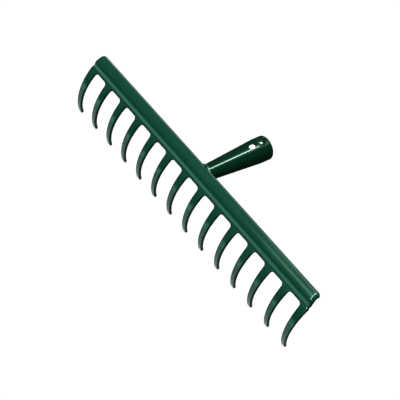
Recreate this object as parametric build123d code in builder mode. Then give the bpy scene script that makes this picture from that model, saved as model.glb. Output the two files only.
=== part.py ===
from build123d import *

import os
from math import cos, radians, sin

# Level rake head in pressed steel, with a rolled socket for a wooden handle. Millimetres, +Z up.
# The origin is the centre of the socket's mouth. +Y is the way the handle leaves, +X runs along the bar.
# The bar and its tines are one pressing. They are cut apart at the tine roots, into simpler solids.

# Comb
tine_count = 14
tine_pitch = 28.0
root_width = 9.4
tip_width = 5.8
tip_corner = 1.6
gap_corner = 3.8
end_margin = 0.5

# Sheet and its section, as slopes in degrees above the horizontal and radii of the outer face
sheet = 3.2
root_slope = 54.0
wall_slope = 80.0
shoulder_slope = 35.0
lip_slope = 48.0
skirt_height = 1.4
fold_radius = 2.0
wall_height = 3.7
shoulder_radius = 13.04
crown_radius = 6.1
bar_corner = 6.5

# Tine curve, outer face
tine_radius = 62.0
tine_turn = 62.5

# Where the outer face's gap edge lies, from the mouth of the socket
gap_edge_y = -98.0
gap_edge_z = -5.8

# Socket
mouth_radius = 13.9
mouth_length = 12.0
bar_end_radius = 8.6
bar_end_y = -86.4
socket_end_y = -91.6
socket_wall = 1.6

# Holes on the socket's top
grip_hole_y = -22.5
grip_hole_radius = 3.9
screw_hole_y = -9.3
screw_hole_radius = 2.0

# Welds: a bead over the socket's top at the bar's back edge, and one at each flank under the arch
top_bead_radius = 1.7
top_bead_y = -83.2
top_bead_place = 9.0
top_bead_spread = 60.0
flank_bead_radius = 1.7
flank_bead_x = 8.9
flank_bead_y = -92.2
flank_bead_low = -3.5
flank_bead_height = 5.0

bar_half = (tine_count - 1) / 2 * tine_pitch + root_width / 2 + end_margin
reach = 40.0


def direction(slope):
    """The unit vector in the section's own axes, back and up, at this slope in degrees."""
    return Vector(cos(radians(slope)), sin(radians(slope)))


def sheet_point(depth):
    """The gap edge in the section's axes, at this depth below the outer face."""
    return Vector(gap_edge_y, gap_edge_z) + direction(root_slope - 90) * depth


def bar_line(depth):
    """Draws the bar's section line at this depth below the outer face, and gives its two ends."""
    start = sheet_point(depth)
    skirt = Line(start, start + direction(root_slope) * skirt_height)
    fold = JernArc(skirt @ 1, skirt % 1, fold_radius + depth, wall_slope - root_slope)
    wall = Line(fold @ 1, fold @ 1 + direction(wall_slope) * wall_height)
    shoulder = JernArc(wall @ 1, wall % 1, shoulder_radius - depth, shoulder_slope - wall_slope)
    crown = JernArc(shoulder @ 1, shoulder % 1, crown_radius - depth, -shoulder_slope - lip_slope)
    return start, crown @ 1


# The bar: an arched strip, with its two back corners rounded
with BuildPart() as bar:
    with BuildSketch(Plane.YZ):
        with BuildLine():
            outer_start, outer_end = bar_line(0)
            inner_start, inner_end = bar_line(sheet)
            Line(outer_start, inner_start)
            Line(outer_end, inner_end)
        make_face()
    extrude(amount=bar_half, both=True)
    with BuildSketch(Plane.XY.offset(-reach)) as plan:
        with Locations((0, outer_end.X)):
            Rectangle(2 * bar_half, reach, align=(Align.CENTER, Align.MAX))
        fillet(plan.vertices().group_by(Axis.Y)[-1], bar_corner)
    extrude(amount=2 * reach, mode=Mode.INTERSECT)
bar.part.label = "bar"


def tine_side(side, outermost):
    """Draws one side of a tine's outline on the root plane, from the gap edge down, and gives its ends."""
    tip_drop = tine_radius * sin(radians(tine_turn))
    below = (side * tip_width / 2, -tip_drop)
    if outermost:
        top = (side * (root_width / 2 + end_margin), 0)
        edge = Line(top, below)
        return edge @ 0, edge @ 1
    flare = side * (root_width / 2 + gap_corner)
    neck = (side * root_width / 2, -gap_corner)
    corner = RadiusArc((flare, 0), neck, -side * gap_corner)
    edge = Line(neck, below)
    return corner @ 0, edge @ 1


def make_tine(number):
    """One tine of the comb, counted from the -X end: a strip that curves forward, down and back."""
    place = (number - (tine_count + 1) / 2) * tine_pitch
    with BuildPart() as tine:
        with BuildSketch(Plane.YZ.offset(place)):
            with BuildLine():
                face = JernArc(sheet_point(0), -direction(root_slope), tine_radius, tine_turn)
                back = JernArc(sheet_point(sheet), -direction(root_slope), tine_radius - sheet, tine_turn)
                Line(face @ 0, back @ 0)
                Line(face @ 1, back @ 1)
            make_face()
        extrude(amount=tine_pitch / 2, both=True)
        root = Plane(
            origin=(place, gap_edge_y, gap_edge_z),
            x_dir=(1, 0, 0),
            z_dir=(0, -sin(radians(root_slope)), cos(radians(root_slope))),
        )
        with BuildSketch(root.offset(-reach)):
            with BuildLine():
                left_top, left_tip = tine_side(-1, number == 1)
                right_top, right_tip = tine_side(1, number == tine_count)
                Line(left_top, right_top)
                Polyline(left_tip, left_tip - (0, reach), right_tip - (0, reach), right_tip)
            make_face()
        extrude(amount=2 * reach, mode=Mode.INTERSECT)
        tip = tine.faces().sort_by(Axis.Z)[0]
        fillet(tip.edges().filter_by(Axis.X, reverse=True), tip_corner)
    tine.part.label = f"tine_{number:02d}"
    return tine.part


tines = [make_tine(number) for number in range(1, tine_count + 1)]


def socket_radius(y):
    """The socket's outer radius at this distance along it."""
    if y > -mouth_length:
        return mouth_radius
    taper = (mouth_radius - bar_end_radius) / (-mouth_length - bar_end_y)
    return mouth_radius + taper * (y + mouth_length)


# The socket: a tapered tube with a short straight mouth, its small end trimmed to fit under the arch
with BuildPart() as handle_socket:
    with BuildSketch(Plane.XY):
        with BuildLine():
            far = socket_radius(socket_end_y)
            outside = Polyline((mouth_radius, 0), (mouth_radius, -mouth_length), (far, socket_end_y))
            inside = Polyline(
                (mouth_radius - socket_wall, 0),
                (mouth_radius - socket_wall, -mouth_length),
                (far - socket_wall, socket_end_y),
            )
            Line(outside @ 0, inside @ 0)
            Line(outside @ 1, inside @ 1)
        make_face()
    revolve(axis=Axis.Y)
    with BuildSketch(Plane.YZ):
        with BuildLine():
            bar_foot, bar_lip = bar_line(sheet)
            Polyline(
                bar_lip,
                outer_end,
                outer_end + (0, reach),
                bar_foot + (-reach, reach),
                bar_foot + (-reach, 0),
                bar_foot,
            )
        make_face()
    extrude(amount=reach, both=True, mode=Mode.SUBTRACT)
    for hole_y, hole_radius in ((grip_hole_y, grip_hole_radius), (screw_hole_y, screw_hole_radius)):
        with BuildSketch(Plane.XY):
            with Locations((0, hole_y)):
                Circle(hole_radius)
        extrude(amount=reach, mode=Mode.SUBTRACT)
handle_socket.part.label = "handle_socket"


# The welds are what the bar and the socket leave of each bead
with BuildPart() as weld_top:
    with BuildLine(Plane.XZ.offset(-top_bead_y)) as arch:
        CenterArc((0, 0), top_bead_place, 90 - top_bead_spread, 2 * top_bead_spread)
    with BuildSketch(Plane(arch.line @ 0, z_dir=arch.line % 0)):
        Circle(top_bead_radius)
    sweep()
    add(bar.part, mode=Mode.SUBTRACT)
    add(handle_socket.part, mode=Mode.SUBTRACT)
weld_top.part.label = "weld_top"


def make_flank_weld(side, name):
    """A bead under the arch, where the socket's flank meets the back of the bar's front wall."""
    with BuildPart() as weld:
        with BuildSketch(Plane.XY.offset(flank_bead_low)):
            with Locations((side * flank_bead_x, flank_bead_y)):
                Circle(flank_bead_radius)
        extrude(amount=flank_bead_height)
        add(bar.part, mode=Mode.SUBTRACT)
        add(handle_socket.part, mode=Mode.SUBTRACT)
    weld.part.label = name
    return weld.part


welds = [weld_top.part, make_flank_weld(-1, "weld_left"), make_flank_weld(1, "weld_right")]

os.makedirs("parts", exist_ok=True)
for piece in (bar.part, *tines, handle_socket.part, *welds):
    export_step(piece, f"parts/{piece.label}.step")
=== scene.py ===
import random
from math import cos, degrees, hypot, pi, radians, sin, sqrt

import bmesh
import bpy
from mathutils import Matrix, Vector, noise


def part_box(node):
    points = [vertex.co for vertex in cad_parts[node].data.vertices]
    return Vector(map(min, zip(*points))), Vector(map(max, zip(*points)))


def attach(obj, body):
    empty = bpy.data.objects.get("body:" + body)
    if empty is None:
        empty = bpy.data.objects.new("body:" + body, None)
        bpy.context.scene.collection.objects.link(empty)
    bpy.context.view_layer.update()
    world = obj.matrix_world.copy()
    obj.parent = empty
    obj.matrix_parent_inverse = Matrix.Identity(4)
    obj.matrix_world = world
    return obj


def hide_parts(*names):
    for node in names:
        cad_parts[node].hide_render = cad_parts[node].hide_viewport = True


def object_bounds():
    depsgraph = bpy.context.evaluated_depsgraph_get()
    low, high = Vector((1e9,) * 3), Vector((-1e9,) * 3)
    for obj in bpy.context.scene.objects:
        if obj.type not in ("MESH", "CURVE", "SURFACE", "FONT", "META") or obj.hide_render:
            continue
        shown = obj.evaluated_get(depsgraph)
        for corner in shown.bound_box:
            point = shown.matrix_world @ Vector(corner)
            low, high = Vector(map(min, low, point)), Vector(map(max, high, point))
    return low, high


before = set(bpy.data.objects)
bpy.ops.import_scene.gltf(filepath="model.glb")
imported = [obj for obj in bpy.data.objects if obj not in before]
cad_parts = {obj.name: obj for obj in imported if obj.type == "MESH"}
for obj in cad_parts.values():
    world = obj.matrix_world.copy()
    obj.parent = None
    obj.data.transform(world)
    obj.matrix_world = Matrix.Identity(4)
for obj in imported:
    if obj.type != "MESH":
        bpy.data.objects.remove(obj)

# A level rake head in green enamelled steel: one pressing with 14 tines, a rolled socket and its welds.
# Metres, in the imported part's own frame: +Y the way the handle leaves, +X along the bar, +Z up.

cad_low, cad_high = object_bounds()
mm = 0.001

# ---------------------------------------------------------------- dimensions

# Head pressing: the comb
tine_names = sorted(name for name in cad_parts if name.startswith("tine_"))
tine_centres = [(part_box(name)[0].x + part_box(name)[1].x) / 2 for name in tine_names[1:-1]]
tine_pitch = tine_centres[1] - tine_centres[0]
tine_centres = [tine_centres[0] - tine_pitch, *tine_centres, tine_centres[-1] + tine_pitch]
bar_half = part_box("bar")[1].x
root_half = 4.7 * mm
tip_half = 2.9 * mm
tip_corner = 1.6 * mm
gap_corner = 3.8 * mm
gap_top = -0.5 * mm
bar_corner = 1.3 * mm

# Head pressing: the sheet and its section, as slopes in degrees and radii of the outer face
sheet = 3.2 * mm
edge_round = 0.8 * mm
root_slope = 54.0
skirt_height = 1.4 * mm
fold_radius = 2.0 * mm
fold_turn = 26.0
wall_height = 3.7 * mm
shoulder_radius = 13.04 * mm
shoulder_turn = -45.0
crown_radius = 6.1 * mm
crown_turn = -83.0
tine_radius = 62.0 * mm
tine_turn = 62.5
gap_edge = Vector((-98.0 * mm, -5.8 * mm))

# Head pressing: the flat comb's mesh, with its columns as parts of half a tine's width
column = 1 / 3
end_column = 1 / 18
tine_row = 1.5 * mm
gap_column = 3 * mm
bar_row = 0.9 * mm
corner_row = 0.45 * mm
corner_rows_from = bar_corner * 1.6

# Head pressing: the arch's ends are turned down, and the enamel is painted darkest along them as shade
turned_length = 4.8 * mm
foot_length = 3.8 * mm
crown_draw = 0.8 * mm
turned_angle = radians(84)
turn_foot = 0.4 * mm
turn_full = 3.5 * mm
draw_foot = 8.0 * mm
draw_full = 16.0 * mm
# The painted shade at the ends: how far in from the ends it starts and is full, and the height above which it
# is painted
end_shade_from = 2.6 * mm
end_shade_full = 1.2 * mm
end_shade_height = -8.0 * mm

# Socket
mouth_radius = 13.9 * mm
mouth_length = 12.0 * mm
bar_end_radius = 8.6 * mm
bar_end_y = -86.4 * mm
socket_end_y = -91.3 * mm
socket_wall = 1.6 * mm
socket_edge_round = 0.45 * mm
seam_gap = 0.04 * mm
grip_hole_y = -22.5 * mm
grip_hole_radius = 3.9 * mm
screw_hole_y = -9.3 * mm
screw_hole_radius = 2.0 * mm
dimple_radius = 5.6 * mm
dimple_depth = 1.1 * mm
lip_high = Vector((-82.75 * mm, 7.31 * mm))
lip_low = Vector((-85.1 * mm, 5.1 * mm))
under_arch_full = 3.4 * mm
dimple_floor = 0.2
taper_bend = 1.5 * mm
trim_start = -76.0 * mm

# Socket: the flat blank's mesh
blank_step = 1.25 * mm
hole_patch = (screw_hole_y - grip_hole_y) / 2
hole_rings = (0.3, 0.55, 0.75, 0.9, 1.0)

# Welds
top_bead_radius = 1.7 * mm
top_bead_y = -83.2 * mm
top_bead_place = 9.0 * mm
top_bead_spread = radians(58)
flank_bead_radius = 1.65 * mm
flank_bead_x = 8.9 * mm
flank_bead_y = -92.1 * mm
flank_bead_low = -3.4 * mm
flank_bead_high = 1.4 * mm
ripple_length = 1.5 * mm
ripple_height = 0.07
ripple_lean = 0.3
bead_swell = 0.06
bead_sides = 20
bead_step = 0.22 * mm

# Finish
enamel_roughness = 0.14
socket_roughness = 0.09
cut_roughness = 0.5
enamel_gloss = 0.5
cut_gloss = 0.1
enamel_tint = "#ccffe8"
film_patch = 22 * mm
nib_size = 2.4 * mm
blotch_size = 4 * mm
grain_size = 0.5 * mm

# Floor and room, where a brightness of 1 shows as white. Each fade runs from one place along Y to another.
seen_brightness = 1.05
floor_size = 12
floor_brightness = 2.0
floor_tint = "#b8fff0"
front_fade = (-0.30, -0.18)
# Painted shadow: the floor's light is dimmed near and under the head, and nearly put out further back, under
# the bar and socket
under_shadow_fade = (-0.195, -0.165)
under_shadow_share = 0.45
back_shadow_fade = (-0.103, -0.090)
back_shadow_share = 0.05
room_fade = (0.13, 0.32)
room_brightness = 0.10

# Lamps. Each tube is its height above the horizon in degrees, from the back over the top, and its brightness.
tubes = ((69.5, 60), (87.5, 60), (105.5, 52), (123.5, 30), (139.5, 32), (153.0, 44))
tube_distance = 1.5
tube_width = 0.19
tube_length = 0.475
tube_colour = "#ecf6ff"
head_middle = (0, -0.055, -0.028)
just_inside_mouth = (0, -0.001, 0)
mouth_lamp_size = 0.017

# Camera
camera_azimuth = 37.72
camera_elevation = 46.71
camera_roll = 19.14
camera_lens = 122.8
camera_distance = 1.4195
camera_aim = Vector((17.1 * mm, -99.5 * mm, -16.3 * mm))

# ---------------------------------------------------------------- sheet metal


def heading(angle):
    """The unit vector at this angle in degrees, in the section's axes, back and up."""
    return Vector((cos(radians(angle)), sin(radians(angle))))


def rounded(count):
    """Angles that step evenly through a rounded corner, in radians."""
    return [radians(90.0) * step / count for step in range(count + 1)]


def spread(low, high, longest):
    """Evenly spaced values from low to high, no step over the longest."""
    count = max(1, round(abs(high - low) / longest + 0.499))
    return [low + (high - low) * step / count for step in range(count + 1)]


def smooth_step(low, high, value):
    """0 below low, 1 above high and a soft rise between."""
    part = min(1.0, max(0.0, (value - low) / (high - low)))
    return part * part * (3 - 2 * part)


def outline_loops(faces):
    """The flat mesh's outlines, each a list of vertices with the metal on its left."""
    following = {}
    inner = {(face[i], face[i - 1]) for face in faces for i in range(len(face))}
    for face in faces:
        for i in range(len(face)):
            edge = (face[i - 1], face[i])
            if edge not in inner:
                following[edge[0]] = edge[1]
    loops = []
    while following:
        start, step = following.popitem()
        loop = [start]
        while step != start:
            loop.append(step)
            step = following.pop(step)
        loops.append(loop)
    return loops


def sheet_metal(name, flat, faces, place, thickness, edge_radius):
    """A closed shell from a flat pattern, with its cut edges rounded.

    The pattern lies inside the true outline by the edge's radius. place(x, u, depth) bends it to shape.
    """
    points = [place(x, u, 0) for x, u in flat]
    points += [place(x, u, thickness) for x, u in flat]
    under = len(flat)
    face_points = 2 * under
    shell = list(faces) + [[under + corner for corner in reversed(face)] for face in faces]
    edge_steps = rounded(4)
    profile = [(edge_radius * sin(a), edge_radius * (1 - cos(a))) for a in edge_steps[1:]]
    profile += [(out, thickness - depth) for out, depth in reversed(profile)]
    border = set()
    for loop in outline_loops(faces):
        border.update(loop)
        ahead = loop[1:] + loop[:1]
        behind = loop[-1:] + loop[:-1]
        outward = []
        for before, here, after in zip(behind, loop, ahead):
            into = (Vector(flat[here]) - Vector(flat[before])).normalized()
            onward = (Vector(flat[after]) - Vector(flat[here])).normalized()
            bisector = Vector((into.y + onward.y, -into.x - onward.x)).normalized()
            outward.append(bisector / max(0.5, sqrt((1 + into.dot(onward)) / 2)))
        ring = loop
        for out, depth in profile:
            first = len(points)
            for here, away in zip(loop, outward):
                at = Vector(flat[here]) + away * out
                points.append(place(at.x, at.y, depth))
            outer = list(range(first, len(points)))
            shell += ribbon(ring, outer)
            ring = outer
        shell += ribbon(ring, [under + corner for corner in loop])
    piece = solid(name, points, shell)
    cut_edge_and_end_shade = piece.data.attributes.new("cut_edge_and_end_shade", "FLOAT", "POINT")
    cut_edge_and_end_shade.data.foreach_set("value", [
        float(i >= face_points or i % under in border) for i in range(len(points))])
    return piece


def ribbon(inner, outer):
    """The faces between two loops of the same length."""
    faces = []
    for i in range(len(inner)):
        faces.append([inner[i], inner[i - 1], outer[i - 1], outer[i]][::-1])
    return faces


def solid(name, points, faces):
    """A smooth-shaded object from points and faces, with its faces turned outward."""
    mesh = bpy.data.meshes.new(name)
    mesh.from_pydata([tuple(point) for point in points], [], faces)
    shaped = bmesh.new()
    shaped.from_mesh(mesh)
    bmesh.ops.recalc_face_normals(shaped, faces=shaped.faces)
    shaped.to_mesh(mesh)
    shaped.free()
    mesh.shade_smooth()
    piece = bpy.data.objects.new(name, mesh)
    bpy.context.scene.collection.objects.link(piece)
    return piece


# ---------------------------------------------------------------- head pressing

section_runs = (
    (skirt_height, 0.0),
    (fold_radius * radians(fold_turn), fold_turn),
    (wall_height, 0.0),
    (-shoulder_radius * radians(shoulder_turn), shoulder_turn),
    (-crown_radius * radians(crown_turn), crown_turn),
)
bar_depth = sum(length for length, turn in section_runs)
tine_length = tine_radius * radians(tine_turn)


def section(u):
    """The outer face's point and slope at this distance up the sheet from the gap edge."""
    if u < 0:
        slope = root_slope + degrees(-u / tine_radius)
        centre = gap_edge + heading(root_slope - 90) * tine_radius
        return centre - heading(slope - 90) * tine_radius, slope
    point = gap_edge
    slope = root_slope
    for length, turn in section_runs:
        run = min(u, length)
        bend = turn * run / length
        if turn:
            radius = length / radians(turn)
            point = point + (heading(slope + 90) - heading(slope + bend + 90)) * radius
        else:
            point = point + heading(slope) * run
        slope += bend
        u -= run
        if u <= 0:
            break
    return point, slope


def bend_head(x, u, depth):
    """Bends the flat comb to the head's section, with the arch's ends turned down."""
    point, slope = section(min(u, bar_depth))
    past = max(0.0, u - bar_depth)
    share = smooth_step(turn_foot, turn_full, u)
    crown_share = smooth_step(draw_foot, draw_full, u)
    length = foot_length + (turned_length - foot_length) * crown_share
    drawn_in = crown_draw * crown_share
    start = bar_half - drawn_in - length
    if abs(x) > start and share > 0:
        radius = length / sin(turned_angle * share)
        turn = turned_angle * share * (abs(x) - start) / (bar_half - start)
        side = 1 if x > 0 else -1
        x = side * (start + (radius - depth) * sin(turn))
        depth = radius - (radius - depth) * cos(turn)
    at = point + heading(slope) * past + heading(slope - 90) * depth
    return Vector((x, at.x, at.y))


def tine_half_width(u, outer_side):
    """Half the tine's width, as cut, at this distance below the gap edge."""
    drop = tine_radius * sin(-u / tine_radius)
    tip_drop = tine_radius * sin(radians(tine_turn))
    if outer_side:
        wide = bar_half - tine_centres[-1]
        return wide + (tip_half - wide) * drop / tip_drop
    return root_half + (tip_half - root_half) * (drop - gap_corner) / (tip_drop - gap_corner)


def tine_reach(u, outer_side):
    """The same, drawn in by the edge's round, with the tip's corner and the gap's corner."""
    tip_u = -tine_length + edge_round
    small = tip_corner - edge_round
    wide = gap_corner + edge_round
    if not outer_side and u > gap_top - gap_corner:
        return root_half + gap_corner - sqrt(max(0.0, wide**2 - (u - gap_top + gap_corner) ** 2))
    half = tine_half_width(u, outer_side) - edge_round
    if u < tip_u + small:
        half -= small - sqrt(max(0.0, small**2 - (tip_u + small - u) ** 2))
    return half


def head_pattern():
    """The flat comb, drawn in by the edge's round: its points (x, u) and faces."""
    flat = []
    faces = []
    small = tip_corner - edge_round
    wide = gap_corner + edge_round
    tip_u = -tine_length + edge_round
    rows = [tip_u + small * (1 - cos(a)) for a in rounded(5)]
    rows += spread(tip_u + small, gap_top - gap_corner, tine_row)[1:]
    rows += [gap_top - gap_corner + wide * sin(a) for a in rounded(7)][1:]
    top_row = []
    for number, centre in enumerate(tine_centres):
        first = len(flat)
        outermost = number in (0, len(tine_centres) - 1)
        across = spread(-1, 1, end_column if outermost else column)
        for u in rows:
            left = centre - tine_reach(u, number == 0)
            right = centre + tine_reach(u, number == len(tine_centres) - 1)
            flat += [((left + right) / 2 + (right - left) / 2 * part, u) for part in across]
        faces += grid(first, len(rows), len(across))
        tine_top = list(range(len(flat) - len(across), len(flat)))
        if top_row:
            gap = spread(flat[top_row[-1]][0], flat[tine_top[0]][0], gap_column)[1:-1]
            top_row += range(len(flat), len(flat) + len(gap))
            flat += [(x, gap_top + edge_round) for x in gap]
        top_row += tine_top
    bar_rows = spread(gap_top + edge_round, bar_depth - corner_rows_from, bar_row)[1:]
    bar_rows += spread(bar_rows[-1], bar_depth - edge_round, corner_row)[1:]
    below = top_row
    for u in bar_rows:
        first = len(flat)
        flat += [(draw_in(flat[corner][0], u), u) for corner in top_row]
        row = list(range(first, len(flat)))
        faces += [[below[i - 1], below[i], row[i], row[i - 1]] for i in range(1, len(row))]
        below = row
    return flat, faces


def grid(first, rows, columns):
    """The faces of a block of points laid out row by row."""
    faces = []
    for row in range(rows - 1):
        for column in range(columns - 1):
            corner = first + row * columns + column
            faces.append([corner, corner + 1, corner + columns + 1, corner + columns])
    return faces


def draw_in(x, u):
    """Draws the bar's end columns in, to round its back corners."""
    lip_y = section(bar_depth)[0].x
    inside = lip_y - bar_corner
    radius = bar_corner - edge_round
    y = section(u)[0].x
    rise = min(radius, max(0.0, y - inside))
    end = bar_half - bar_corner + sqrt(radius**2 - rise**2)
    whole = bar_half - edge_round
    steady = bar_half - 2 * bar_corner
    if abs(x) <= steady:
        return x
    side = 1 if x > 0 else -1
    return side * (steady + (abs(x) - steady) * (end - steady) / (whole - steady))


head_pressing = sheet_metal("head_pressing", *head_pattern(), bend_head, sheet, edge_round)
# Painted shade: near the bar's ends and above a set height, the enamel takes the cut edges' near-black
# colour, as shade on the turned-down ends
cut_edge_and_end_shade_values = head_pressing.data.attributes["cut_edge_and_end_shade"].data
for vertex, dark in zip(head_pressing.data.vertices, cut_edge_and_end_shade_values):
    if vertex.co.z > end_shade_height:
        end_shade = smooth_step(-end_shade_from, -end_shade_full, abs(vertex.co.x) - bar_half)
        dark.value = max(dark.value, end_shade)

# ---------------------------------------------------------------- rolled socket


def socket_radius(y):
    """The socket's outer radius, with a soft bend where the taper starts."""
    taper = (mouth_radius - bar_end_radius) / (-mouth_length - bar_end_y)
    along = -(y + mouth_length)
    return mouth_radius - taper * (along + hypot(along, taper_bend)) / 2


def socket_end(height):
    """Where the socket ends at this height: at the bar's lip on top, and on under the arch below it."""
    if height > lip_high.y:
        return lip_high.x
    if height > lip_low.y:
        part = (height - lip_low.y) / (lip_high.y - lip_low.y)
        return lip_low.x + (lip_high.x - lip_low.x) * part
    return socket_end_y + (lip_low.x - socket_end_y) * smooth_step(under_arch_full, lip_low.y, height)


def roll_socket(w, y, depth):
    """Rolls the flat blank round the handle's axis. w is measured round the mouth, from the top."""
    angle = w / mouth_radius
    from_screw = hypot(w, y - screw_hole_y) / dimple_radius
    pressed = dimple_depth * (1 - smooth_step(dimple_floor, 1.0, from_screw))
    radius = socket_radius(y) - depth - pressed
    return Vector((radius * sin(angle), y, radius * cos(angle)))


def trim(w, y):
    """Draws the blank's far rows to where the socket ends at that place round it."""
    if y > trim_start:
        return y
    far = socket_end_y + socket_edge_round
    end = socket_end(bar_end_radius * cos(w / mouth_radius)) + socket_edge_round
    return trim_start + (y - trim_start) * (end - trim_start) / (far - trim_start)


def socket_pattern():
    """The flat blank, drawn in by the edge's round: rows from the bar to the mouth, with two round holes."""
    half = pi * mouth_radius - seam_gap / 2 - socket_edge_round
    columns = spread(-half, -hole_patch, blank_step)[:-1]
    left = len(columns)
    columns += spread(-hole_patch, hole_patch, blank_step)
    right = len(columns) - 1
    columns += spread(hole_patch, half, blank_step)[1:]
    rows = spread(socket_end_y + socket_edge_round, grip_hole_y - hole_patch, blank_step)
    patches = []
    for hole_y, hole_radius in ((grip_hole_y, grip_hole_radius), (screw_hole_y, screw_hole_radius)):
        low = len(rows) - 1
        rows += spread(hole_y - hole_patch, hole_y + hole_patch, blank_step)[1:]
        patches.append((hole_y, hole_radius + socket_edge_round, low, len(rows) - 1))
    rows += spread(rows[-1], -socket_edge_round, blank_step)[1:]
    flat = [(w, trim(w, y)) for y in rows for w in columns]
    wide = len(columns)
    in_patch = {
        (row, column)
        for hole_y, radius, low, high in patches
        for row in range(low, high)
        for column in range(left, right)
    }
    faces = []
    for row in range(len(rows) - 1):
        for column in range(wide - 1):
            corner = row * wide + column
            if (row, column) not in in_patch:
                faces.append([corner, corner + 1, corner + wide + 1, corner + wide])
    for hole_y, radius, low, high in patches:
        ring = [low * wide + column for column in range(left, right)]
        ring += [row * wide + right for row in range(low, high)]
        ring += [high * wide + column for column in range(right, left, -1)]
        ring += [row * wide + left for row in range(high, low, -1)]
        border = [Vector(flat[corner]) for corner in ring]
        middle = Vector((0, hole_y))
        for part in hole_rings:
            inner = range(len(flat), len(flat) + len(ring))
            for point in border:
                rim = middle + (point - middle).normalized() * radius
                flat.append(tuple(point.lerp(rim, part)))
            faces += [[ring[i - 1], ring[i], inner[i], inner[i - 1]] for i in range(len(ring))]
            ring = list(inner)
    return flat, faces


blank_points, blank_faces = socket_pattern()
rolled_socket = sheet_metal(
    "rolled_socket", blank_points, blank_faces, roll_socket, socket_wall, socket_edge_round
)
for polygon in rolled_socket.data.polygons[len(blank_faces):2 * len(blank_faces)]:
    polygon.material_index = 1

# ---------------------------------------------------------------- welds


def weld_bead(name, path, radius, seed):
    """A bead along a path that lies across Y, its radius rippled as the weld pool froze."""
    draw = random.Random(seed)
    start = draw.random()
    along = [0.0]
    for before, here in zip(path, path[1:]):
        along.append(along[-1] + (here - before).length)
    points = []
    faces = []
    for i, here in enumerate(path):
        ahead = (path[min(i + 1, len(path) - 1)] - path[max(i - 1, 0)]).normalized()
        across = ahead.cross(Vector((0, 1, 0)))
        to_end = min(along[i], along[-1] - along[i]) / radius
        full = sqrt(max(0.02, 1 - max(0.0, 1 - to_end) ** 2))
        swell = noise.noise(Vector((along[i] / (3 * ripple_length), seed, 0)))
        for step in range(bead_sides):
            turn = 2 * pi * step / bead_sides
            phase = along[i] / ripple_length + ripple_lean * cos(turn) + start
            ripple = ripple_height * abs(sin(pi * phase))
            size = radius * full * (1 - ripple_height + ripple + swell * bead_swell)
            points.append(here + (across * cos(turn) + Vector((0, 1, 0)) * sin(turn)) * size)
    for i in range(len(path) - 1):
        first = i * bead_sides
        ring = list(range(first, first + bead_sides))
        faces += ribbon(ring, [corner + bead_sides for corner in ring])
    faces.append(list(range(bead_sides)))
    faces.append(list(range(len(points) - bead_sides, len(points))))
    return solid(name, points, faces)


top_path = [
    Vector((top_bead_place * sin(a), top_bead_y, top_bead_place * cos(a)))
    for a in spread(-top_bead_spread, top_bead_spread, bead_step / top_bead_place)
]
top_bead = weld_bead("top_weld_bead", top_path, top_bead_radius, 1)
flank_beads = []
for side, name, seed in ((-1, "left_weld_bead", 2), (1, "right_weld_bead", 3)):
    flank_path = [
        Vector((side * flank_bead_x, flank_bead_y, z))
        for z in spread(flank_bead_low, flank_bead_high, bead_step)
    ]
    flank_beads.append(weld_bead(name, flank_path, flank_bead_radius, seed))

# ---------------------------------------------------------------- finishes


def linear(colour):
    """An sRGB hex colour as the linear values that a shader takes."""
    channels = [int(colour[i:i + 2], 16) / 255 for i in (1, 3, 5)]
    return (*(c / 12.92 if c <= 0.04045 else ((c + 0.055) / 1.055) ** 2.4 for c in channels), 1.0)


def add(material, kind, inputs=None, **settings):
    """Adds a node with its settings, and its inputs as values or as other nodes' outputs.

    Inputs that share a name go by number: a Mix node's 2 and 3 are its values, and its 6 and 7 its colours.
    """
    tree = material.node_tree
    made = tree.nodes.new(kind)
    for name, value in settings.items():
        setattr(made, name, value)
    for name, value in (inputs or {}).items():
        if isinstance(value, bpy.types.NodeSocket):
            tree.links.new(value, made.inputs[name])
        else:
            made.inputs[name].default_value = value
    return made


def new_finish(name):
    """An empty material, with the object's own coordinates in metres."""
    finish = bpy.data.materials.new(name)
    finish.use_nodes = True
    finish.node_tree.nodes.clear()
    place = add(finish, "ShaderNodeTexCoord").outputs["Object"]
    return finish, place


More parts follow.
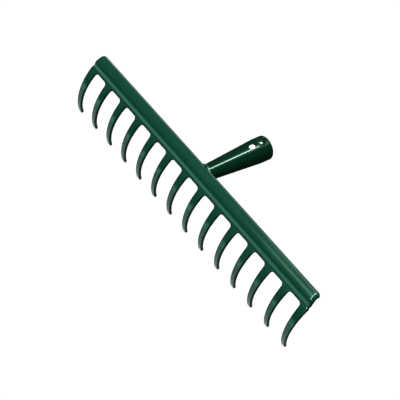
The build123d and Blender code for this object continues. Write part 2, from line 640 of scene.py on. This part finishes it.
def stoved_enamel(name, full, thin, cut, peel_size, peel_height, roughness, index):
    """Gloss stoving enamel over steel: a deep green film, near black on the cut edges, and painted near black
    as shade along the head's turned-down ends.

    Dipping and stoving leave orange peel, slow changes of film thickness and a few dust nibs.
    """
    enamel, place = new_finish(name)
    film = add(enamel, "ShaderNodeTexNoise", {"Vector": place, "Scale": 1 / film_patch, "Detail": 2.0})
    edge = add(enamel, "ShaderNodeAttribute", attribute_name="cut_edge_and_end_shade")
    thickness = add(enamel, "ShaderNodeMapRange", {
        "Value": film.outputs["Fac"], "From Min": 0.3, "From Max": 0.7, "To Min": 0.0, "To Max": 0.35})
    coat = add(enamel, "ShaderNodeMix", {
        "Factor": thickness.outputs["Result"], 6: linear(full), 7: linear(thin)}, data_type="RGBA")
    # Near black on the cut edges, and painted shade in the same colour along the head's turned-down ends
    colour = add(enamel, "ShaderNodeMix", {
        "Factor": edge.outputs["Fac"], 6: coat.outputs[2], 7: linear(cut)}, data_type="RGBA")
    peel = add(enamel, "ShaderNodeTexNoise", {"Vector": place, "Scale": 1 / peel_size, "Detail": 1.0})
    nibs = add(enamel, "ShaderNodeTexNoise", {"Vector": place, "Scale": 1 / nib_size, "Detail": 0.0})
    nib = add(enamel, "ShaderNodeMapRange", {
        "Value": nibs.outputs["Fac"], "From Min": 0.72, "From Max": 0.80, "To Min": 0.0, "To Max": 0.5})
    height = add(enamel, "ShaderNodeMath", {
        0: peel.outputs["Fac"], 1: nib.outputs["Result"]}, operation="ADD")
    bump = add(enamel, "ShaderNodeBump", {
        "Height": height.outputs[0], "Strength": 1.0, "Distance": peel_height})
    sheen = add(enamel, "ShaderNodeMapRange", {
        "Value": film.outputs["Fac"], "From Min": 0.3, "From Max": 0.7,
        "To Min": roughness - 0.02, "To Max": roughness + 0.03})
    rough = add(enamel, "ShaderNodeMix", {
        "Factor": edge.outputs["Fac"], 2: sheen.outputs["Result"], 3: cut_roughness})
    gloss = add(enamel, "ShaderNodeMix", {"Factor": edge.outputs["Fac"], 2: enamel_gloss, 3: cut_gloss})
    shader = add(enamel, "ShaderNodeBsdfPrincipled", {
        "Base Color": colour.outputs[2], "Roughness": rough.outputs[0],
        "Specular IOR Level": gloss.outputs[0], "Specular Tint": linear(enamel_tint),
        "Normal": bump.outputs["Normal"], "IOR": index})
    add(enamel, "ShaderNodeOutputMaterial", {"Surface": shader.outputs["BSDF"]})
    return enamel


def zinc_flash(name):
    """Zinc-flashed steel as the strip mill leaves it: bright, with soft blotches and a rolled grain."""
    zinc, place = new_finish(name)
    blotch = add(zinc, "ShaderNodeTexNoise", {"Vector": place, "Scale": 1 / blotch_size, "Detail": 3.0})
    colour = add(zinc, "ShaderNodeMix", {
        "Factor": blotch.outputs["Fac"], 6: linear("#d9ded9"), 7: linear("#f4f7f4")}, data_type="RGBA")
    stretched = add(zinc, "ShaderNodeMapping", {"Vector": place, "Scale": (1.0, 0.08, 1.0)})
    grain = add(zinc, "ShaderNodeTexNoise", {
        "Vector": stretched.outputs["Vector"], "Scale": 1 / grain_size, "Detail": 2.0})
    bump = add(zinc, "ShaderNodeBump", {
        "Height": grain.outputs["Fac"], "Strength": 1.0, "Distance": 0.01 * mm})
    shader = add(zinc, "ShaderNodeBsdfPrincipled", {
        "Base Color": colour.outputs[2], "Metallic": 1.0, "Roughness": 0.24,
        "Normal": bump.outputs["Normal"]})
    add(zinc, "ShaderNodeOutputMaterial", {"Surface": shader.outputs["BSDF"]})
    return zinc


head_enamel = stoved_enamel(
    "green_enamel_on_pressed_steel", full="#06291b", thin="#092f20", cut="#010e08",
    peel_size=2.2 * mm, peel_height=0.0015 * mm, roughness=enamel_roughness, index=1.5
)
socket_enamel = stoved_enamel(
    "green_enamel_on_rolled_steel", full="#01180b", thin="#031b0d", cut="#010b05",
    peel_size=1.8 * mm, peel_height=0.0006 * mm, roughness=socket_roughness, index=1.34
)
weld_enamel = stoved_enamel(
    "green_enamel_over_weld", full="#04211a", thin="#072a1e", cut="#072a1e",
    peel_size=1.6 * mm, peel_height=0.002 * mm, roughness=socket_roughness, index=1.8
)
bare_inside = zinc_flash("zinc_flashed_steel_inside")

head_pressing.data.materials.append(head_enamel)
rolled_socket.data.materials.append(socket_enamel)
rolled_socket.data.materials.append(bare_inside)
for bead in (top_bead, *flank_beads):
    bead.data.materials.append(weld_enamel)

# ---------------------------------------------------------------- the pieces and the frame

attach(head_pressing, "root")
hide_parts("bar", *tine_names)
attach(rolled_socket, "root")
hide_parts("handle_socket")
for bead, node in zip((top_bead, *flank_beads), ("weld_top", "weld_left", "weld_right")):
    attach(bead, "root")
    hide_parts(node)

# ---------------------------------------------------------------- floor, light and camera

floor_level = cad_low.z - 0.2 * mm


def fade(material, value, limits, start, end):
    """A soft change from start to end, as the value passes from one limit to the other."""
    return add(material, "ShaderNodeMapRange", {
        "Value": value, "From Min": limits[0], "From Max": limits[1], "To Min": start, "To Max": end},
        interpolation_type="SMOOTHSTEP").outputs["Result"]


def studio_floor():
    """A white sheet that gives light itself. The camera sees it evenly white, but the enamel does not.

    What lights the enamel fades out in front, is dimmer and tinted under the head, and is nearly dark behind;
    the dimming under and behind the head is painted shadow.
    """
    bpy.ops.mesh.primitive_plane_add(size=floor_size, location=(0, 0, floor_level))
    floor = bpy.context.object
    floor.name = "studio_floor"
    paper = bpy.data.materials.new("lit_white_sheet")
    paper.use_nodes = True
    paper.node_tree.nodes.clear()
    place = add(paper, "ShaderNodeTexCoord").outputs["Object"]
    along = add(paper, "ShaderNodeSeparateXYZ", {0: place}).outputs["Y"]
    front = fade(paper, along, front_fade, 0.0, floor_brightness)
    # Painted shadow: the light drops near and under the head, and almost to nothing under the bar and socket
    under = fade(paper, along, under_shadow_fade, 1.0, under_shadow_share)
    back = fade(paper, along, back_shadow_fade, 1.0, back_shadow_share)
    dimmed = add(paper, "ShaderNodeMath", {0: front, 1: under}, operation="MULTIPLY").outputs[0]
    lit = add(paper, "ShaderNodeMath", {0: dimmed, 1: back}, operation="MULTIPLY").outputs[0]
    seen = add(paper, "ShaderNodeLightPath").outputs["Is Camera Ray"]
    strength = add(paper, "ShaderNodeMix", {0: seen, 2: lit, 3: seen_brightness})
    tint = add(paper, "ShaderNodeMix", {
        "Factor": under, 6: linear("#ffffff"), 7: linear(floor_tint)}, data_type="RGBA")
    colour = add(paper, "ShaderNodeMix", {
        "Factor": seen, 6: tint.outputs[2], 7: linear("#ffffff")}, data_type="RGBA")
    light = add(paper, "ShaderNodeEmission", {"Color": colour.outputs[2], "Strength": strength.outputs[0]})
    add(paper, "ShaderNodeOutputMaterial", {"Surface": light.outputs[0]})
    floor.data.materials.append(paper)


def studio_room():
    """A dark room that opens to a dim grey ceiling. The camera sees it as white as the floor."""
    room = bpy.data.worlds.new("studio_room")
    bpy.context.scene.world = room
    room.use_nodes = True
    room.node_tree.nodes.clear()
    place = add(room, "ShaderNodeTexCoord").outputs["Generated"]
    up = add(room, "ShaderNodeSeparateXYZ", {0: place}).outputs["Z"]
    level = fade(room, up, room_fade, 0.0, room_brightness)
    seen = add(room, "ShaderNodeLightPath").outputs["Is Camera Ray"]
    strength = add(room, "ShaderNodeMix", {0: seen, 2: level, 3: seen_brightness})
    light = add(room, "ShaderNodeBackground", {"Color": (1, 1, 1, 1), "Strength": strength.outputs[0]})
    add(room, "ShaderNodeOutputWorld", {"Surface": light.outputs[0]})


def lamp(name, direction, distance, width, height, brightness, colour="#ffffff", aim=head_middle):
    """A soft rectangular lamp that faces its aim, hidden from the camera. Brightness 1 shows as white."""
    light = bpy.data.lights.new(name, "AREA")
    light.shape = "RECTANGLE"
    light.size = width
    light.size_y = height
    light.energy = brightness * pi * width * height
    light.color = linear(colour)[:3]
    holder = bpy.data.objects.new(name, light)
    bpy.context.scene.collection.objects.link(holder)
    holder.visible_camera = False
    back = Vector(direction).normalized()
    up = back.cross(Vector((1, 0, 0))).normalized()
    right = up.cross(back)
    turn = Matrix((right, up, back)).transposed().to_4x4()
    holder.matrix_world = Matrix.Translation(Vector(aim) + back * distance) @ turn


def studio_camera():
    """A long lens from above the front right, rolled so that the bar falls to the right."""
    azimuth = radians(camera_azimuth)
    elevation = radians(camera_elevation)
    roll = radians(camera_roll)
    back = Vector((sin(azimuth) * cos(elevation), -cos(azimuth) * cos(elevation), sin(elevation)))
    level = Vector((cos(azimuth), sin(azimuth), 0))
    upright = back.cross(level)
    right = level * cos(roll) + upright * sin(roll)
    up = upright * cos(roll) - level * sin(roll)
    lens = bpy.data.cameras.new("studio_camera")
    lens.lens = camera_lens
    lens.clip_start = 0.05
    lens.dof.use_dof = False
    camera = bpy.data.objects.new("studio_camera", lens)
    bpy.context.scene.collection.objects.link(camera)
    turn = Matrix((right, up, back)).transposed().to_4x4()
    camera.matrix_world = Matrix.Translation(camera_aim + back * camera_distance) @ turn
    bpy.context.scene.camera = camera


studio_floor()
studio_room()
for elevation, brightness in tubes:
    towards = (0.0, cos(radians(elevation)), sin(radians(elevation)))
    lamp("overhead_tube", towards, tube_distance, tube_width, tube_length, brightness, tube_colour)
lamp("front_softbox", (-0.05, -0.65, 0.70), distance=2.0, width=1.1, height=0.8, brightness=2.15)
lamp("back_softbox", (-0.02, 0.58, 0.80), distance=2.2, width=1.4, height=0.9, brightness=1.6)
lamp("mouth_light", (0, 1, 0), distance=0.0, width=mouth_lamp_size, height=mouth_lamp_size,
     brightness=2.0, aim=just_inside_mouth)
lamp("rear_card", (-0.45, 0.85, 0.28), distance=1.5, width=1.2, height=0.4, brightness=2.5)
studio_camera()
bpy.context.scene.view_settings.view_transform = "Standard"
